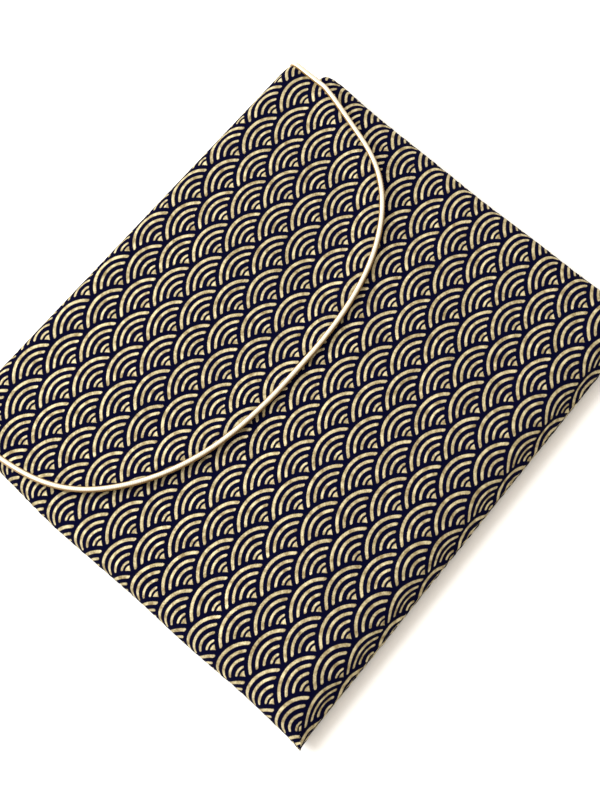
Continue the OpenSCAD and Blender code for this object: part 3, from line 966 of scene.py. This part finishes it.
def tube(name, line, sideways, upward, radii, material, around, wobble=0.0, plies=0, twist=0.0):
    """A tube or bar along a line. radii is (outside, inside). The inside shapes a hollow."""
    turn = np.linspace(0, 2 * math.pi, around + 1)[:-1]
    length = length_along(line)
    lay = 1.4
    shape = 1 + wobble * waves_along(length, 8, 6, 30, 61)[:, None]
    shape = shape + (twist * np.cos(plies * turn[None, :] - length[:, None] * lay) if plies else 0)
    loops = []
    for r in radii:
        c, s = r * np.cos(turn)[None, :] * shape, r * np.sin(turn)[None, :] * shape
        loops.append(
            line[:, None] + c[..., None] * sideways[:, None] + s[..., None] * upward[:, None]
        )
    index = np.arange(len(line) * around).reshape(len(line), around)
    index = np.concatenate([index, index[:, :1]], 1)
    quads = grid_quads(*index.shape, index=index)
    along, round_it = np.meshgrid(length, turn / (2 * math.pi), indexing="ij")
    return shell(name, quads, *loops, material, np.stack([along, round_it, 0 * along], -1))


def side_path(side, upper):
    """The bead's line up one end of the spine and round a corner, from the spine's middle."""
    s = np.concatenate([spine_rows()[::-1], np.linspace(ARC, 0, TURN_STEPS + 1)])
    y, z = strip_path(s, FLAP_T / 2, upper)
    x = np.full_like(y, side * (CLOTH_W + BEAD_R))
    turn = np.clip(s / CORNER_R, 0, math.pi / 2)
    out_y, out_z = np.sin(turn), (np.cos(turn) if upper else -np.cos(turn))
    return np.stack([x, y, z], -1), np.stack([0 * y, out_y, out_z], -1)


def upper_line():
    """From the middle of the spine's right-hand end, round the flap, to its left-hand end."""
    right, right_up = side_path(1, True)
    left, left_up = side_path(-1, True)
    plan, out = outline_line()
    round_flap = plan.copy()
    round_flap[:, 2] += 0.25 * waves(plan[:, 0], plan[:, 1], 6, 40, 110, 71)
    flat = np.zeros((len(plan), 1))
    out3 = np.concatenate([out, flat], 1)
    up3 = np.concatenate([0 * out, flat + 1], 1)
    line = np.concatenate([right, round_flap, left[::-1]])
    side = np.concatenate([
        np.tile([1.0, 0, 0], (len(right), 1)), out3, np.tile([-1.0, 0, 0], (len(left), 1))
    ])
    up = np.concatenate([right_up, up3, left_up[::-1]])
    return line, side, up


def lower_line(side):
    """From the middle of one end of the spine down, round the corner and back along the tongue."""
    line, up = side_path(side, False)
    y = np.linspace(CORNER_Y, MOUTH + 1, 9)[1:]
    sink = smoothstep(MOUTH + 9, MOUTH + 1, y)
    tail = np.stack([
        side * (CLOTH_W + BEAD_R - 1.2 * sink), y, FLAP_T / 2 + 0.9 * sink
    ], -1)
    line = np.concatenate([line, tail])
    up = np.concatenate([up, np.tile([0.0, 0, -1], (len(tail), 1))])
    return line, np.tile([float(side), 0, 0], (len(line), 1)), up


# ---- Building ----

def over_lower_corner(piece):
    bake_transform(piece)


def over_upper_corner(piece):
    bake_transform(piece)


def build_front(cotton, lining, fleece_fill):
    cover = front_layer("front_cover", 0, OUTER_T, cotton, hem=True, dents=(1.8, 1.8))
    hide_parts("front_outer_panel")
    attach(cover, "pocket")
    fill = front_layer(
        "front_fill", OUTER_T + 0.25, PAD_END - CLEARANCE, fleece_fill, step=FILL_STEP,
        dents=(2.4, 0), end=FILL_BACK,
    )
    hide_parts("front_padding")
    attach(fill, "pocket")
    inside = front_layer(
        "front_inside", PAD_END, WALL_T, lining, step=FILL_STEP, end=LINING_BACK
    )
    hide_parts("front_lining")
    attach(inside, "pocket")


def build_back(cotton, lining, fleece_fill):
    cover = back_layer("back_cover", 0, OUTER_T, cotton, hem=True, pinches=(1.1, 0.9))
    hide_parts("back_outer_panel", "spine_outer")
    over_lower_corner(cover)
    fill = back_layer(
        "back_fill", OUTER_T + 0.2, PAD_END - CLEARANCE, fleece_fill, step=FILL_STEP,
        pinches=(0.9, -0.9), end=FILL_BACK,
    )
    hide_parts("back_padding", "spine_padding")
    over_lower_corner(fill)
    inside = back_layer(
        "back_inside", PAD_END, WALL_T, lining, step=FILL_STEP, pinches=(-1.0, -1.2),
        end=LINING_BACK,
    )
    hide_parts("back_lining", "spine_lining")
    over_lower_corner(inside)


def build_flap(cotton, lining, fleece_fill):
    cover = flap_layer("flap_cover", 0, OUTER_T, cotton, printed=True, pinches=(1.4, 1.2))
    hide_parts("flap_outer", "spine_outer")
    over_upper_corner(cover)
    fill = flap_layer(
        "flap_fill", OUTER_T + 0.1, FLAP_T - LINING_T - CLEARANCE, fleece_fill, step=FILL_STEP,
        pinches=(1.2, -0.7), swell=(1, 0),
    )
    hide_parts("flap_padding", "spine_padding")
    over_upper_corner(fill)
    inside = flap_layer(
        "flap_inside", FLAP_T - LINING_T, FLAP_T, lining, pinches=(-0.8, -1.0), swell=(0, 0)
    )
    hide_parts("flap_lining", "spine_lining")
    over_upper_corner(inside)


def piping_pair(names, way, satin, cord):
    """The satin cover along a line, and the cord inside it."""
    cover_radii, core_radii = (BEAD_SHOWN, CORD_R + CLEARANCE), (CORD_R, CORD_BORE)
    cover = tube(names[0], *way, cover_radii, satin, around=16, wobble=0.02)
    core = tube(names[1], *way, core_radii, cord, around=12, plies=3, twist=0.05)
    return cover, core


def build_piping(satin, cord):
    cover, core = piping_pair(("flap_piping", "flap_piping_core"), upper_line(), satin, cord)
    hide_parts("flap_piping_cover", "spine_piping_cover")
    over_upper_corner(cover)
    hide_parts("flap_piping_cord", "spine_piping_cord")
    over_upper_corner(core)
    for name, side in (("right", 1), ("left", -1)):
        names = "spine_piping_" + name, "spine_piping_core_" + name
        cover, core = piping_pair(names, lower_line(side), satin, cord)
        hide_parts("spine_piping_cover")
        over_lower_corner(cover)
        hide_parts("spine_piping_cord")
        over_lower_corner(core)


def build_stitches(thread):
    """The row of stitches along the mouth: short rods whose ends dip into the cloth."""
    low, high = box_mm("mouth_stitching")
    inset = MOUTH - (low[1] + high[1]) / 2
    pitch, length, r = 4.5, 3.0, 0.42
    count = int(2 * (SIDE_AXIS - length) / pitch)
    points, faces, coords = [], [], []
    bend = np.linspace(-1, 1, 9)
    turn = np.linspace(0, 2 * math.pi, 9)[:-1]
    for i in range(count):
        middle = (i - (count - 1) / 2) * pitch
        u = middle + bend * length / 2
        v = np.full_like(u, MOUTH - inset) + 0.1 * math.sin(2.3 * i)
        place = wall_points(u, drawn_back(u, v), 0, True)
        place[:, 2] += 0.30 - 0.55 * bend**4
        thick = r * (1 - 0.45 * bend**6)
        loop = place[:, None, :] + thick[:, None, None] * np.stack(
            [0 * turn, np.cos(turn), np.sin(turn)], -1
        )[None]
        base = len(points) * loop.shape[0] * loop.shape[1]
        index = base + np.arange(loop.shape[0] * loop.shape[1]).reshape(loop.shape[:2])
        ring = np.concatenate([index, index[:, :1]], 1)
        faces += grid_quads(*ring.shape, index=ring, flip=True).tolist()
        faces.append(index[0].tolist())
        faces.append(index[-1][::-1].tolist())
        points.append(loop.reshape(-1, 3))
        along, round_it = np.meshgrid(u, turn / (2 * math.pi), indexing="ij")
        coords.append(np.stack([along, round_it, 0 * along], -1).reshape(-1, 3))
    piece = make_mesh(
        "mouth_stitches", np.concatenate(points), faces, thread, np.concatenate(coords)
    )
    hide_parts("mouth_stitching")
    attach(piece, "pocket")


def dress_cad_nodes(metal, magnet, patch):
    """The snap's pieces and patches are shown as the CAD made them."""
    finishes = {
        "snap_socket_case": metal, "snap_socket_washer": metal, "snap_stud_plate": metal,
        "snap_stud_washer": metal, "snap_magnet": magnet, "front_snap_patch": patch,
        "flap_snap_patch": patch,
    }
    for node, material in finishes.items():
        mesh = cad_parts[node].data
        mesh.materials.clear()
        mesh.materials.append(material)


def make_camera():
    """Above the bottom left-hand corner, looking at the middle, 16 degrees off straight down."""
    stands_at = np.array([-170.1, -199.6, 858.5]) * MM
    data = bpy.data.cameras.new("camera")
    data.sensor_width = 36
    data.lens = 65.33
    data.clip_start = 0.05
    data.clip_end = 80
    camera = add_object("camera", data)
    ahead = np.array([0.1817, 0.2174, -0.959])
    ahead /= np.linalg.norm(ahead)
    up = np.array([0.7334, 0.6197, 0.2794])
    right = np.cross(ahead, up)
    right /= np.linalg.norm(right)
    up = np.cross(right, ahead)
    place = np.eye(4)
    place[:3, 0], place[:3, 1], place[:3, 2] = right, up, -ahead
    place[:3, 3] = stands_at
    camera.matrix_world = Matrix(place.tolist())
    bpy.context.scene.camera = camera


def area_light(name, place, size, power, colour):
    """A round light that faces the frame's origin."""
    data = bpy.data.lights.new(name, "AREA")
    data.shape = "DISK"
    data.size = size
    data.energy = power
    data.color = colour
    light = add_object(name, data)
    light.location = place
    light.rotation_mode = "QUATERNION"
    light.rotation_quaternion = Vector(place).to_track_quat("Z", "Y")


def make_light():
    """A warm room, brighter on the side of the fold, and one large, cooler lamp."""
    level, slope_y = 1.28, 0.7
    world = bpy.data.worlds.new("studio")
    world.use_nodes = True
    background = world.node_tree.nodes["Background"]
    background.inputs[0].default_value = (1, 0.93, 0.84, 1)
    seen, split, slope = (
        world.node_tree.nodes.new("ShaderNode" + kind)
        for kind in ("TexCoord", "SeparateXYZ", "Math")
    )
    slope.operation = "MULTIPLY_ADD"
    slope.inputs[1].default_value = slope_y
    slope.inputs[2].default_value = level
    for start, end in (
        (seen.outputs["Generated"], split.inputs[0]),
        (split.outputs[1], slope.inputs[0]),
        (slope.outputs[0], background.inputs[1]),
    ):
        world.node_tree.links.new(start, end)
    bpy.context.scene.world = world
    area_light("key", place=(-0.7, 1.5, 1.55), size=1.9, power=62, colour=(0.90, 0.96, 1))


def make_floor():
    """A wide sheet of paper, just under the cloth."""
    half, drop = 20.0, 0.4 * MM
    mesh = bpy.data.meshes.new("floor")
    mesh.from_pydata(
        [(-half, -half, 0), (half, -half, 0), (half, half, 0), (-half, half, 0)], [], [(0, 1, 2, 3)]
    )
    mesh.materials.append(floor_paper())
    floor = add_object("floor", mesh)
    floor.location.z = -drop


bpy.context.scene.view_settings.view_transform = "Standard"
make_camera()
make_light()
make_floor()
cotton = printed_cotton()
lining = plain_cotton("lining_cotton", (0.24, 0.185, 0.115), (0.38, 0.32, 0.235))
fill = fleece()
ripples = {"front": settled_front(), "flap": settled_flap()}
build_front(cotton, lining, fill)
build_back(cotton, lining, fill)
build_flap(cotton, lining, fill)
build_piping(
    piping_satin(), twisted("piping_cord", (0.40, 0.37, 0.32), (0.56, 0.54, 0.49), 0.8)
)
build_stitches(twisted("thread", (0.24, 0.18, 0.09), (0.46, 0.37, 0.20), 2.5))
dress_cad_nodes(snap_metal(), bare_magnet(), stabiliser())
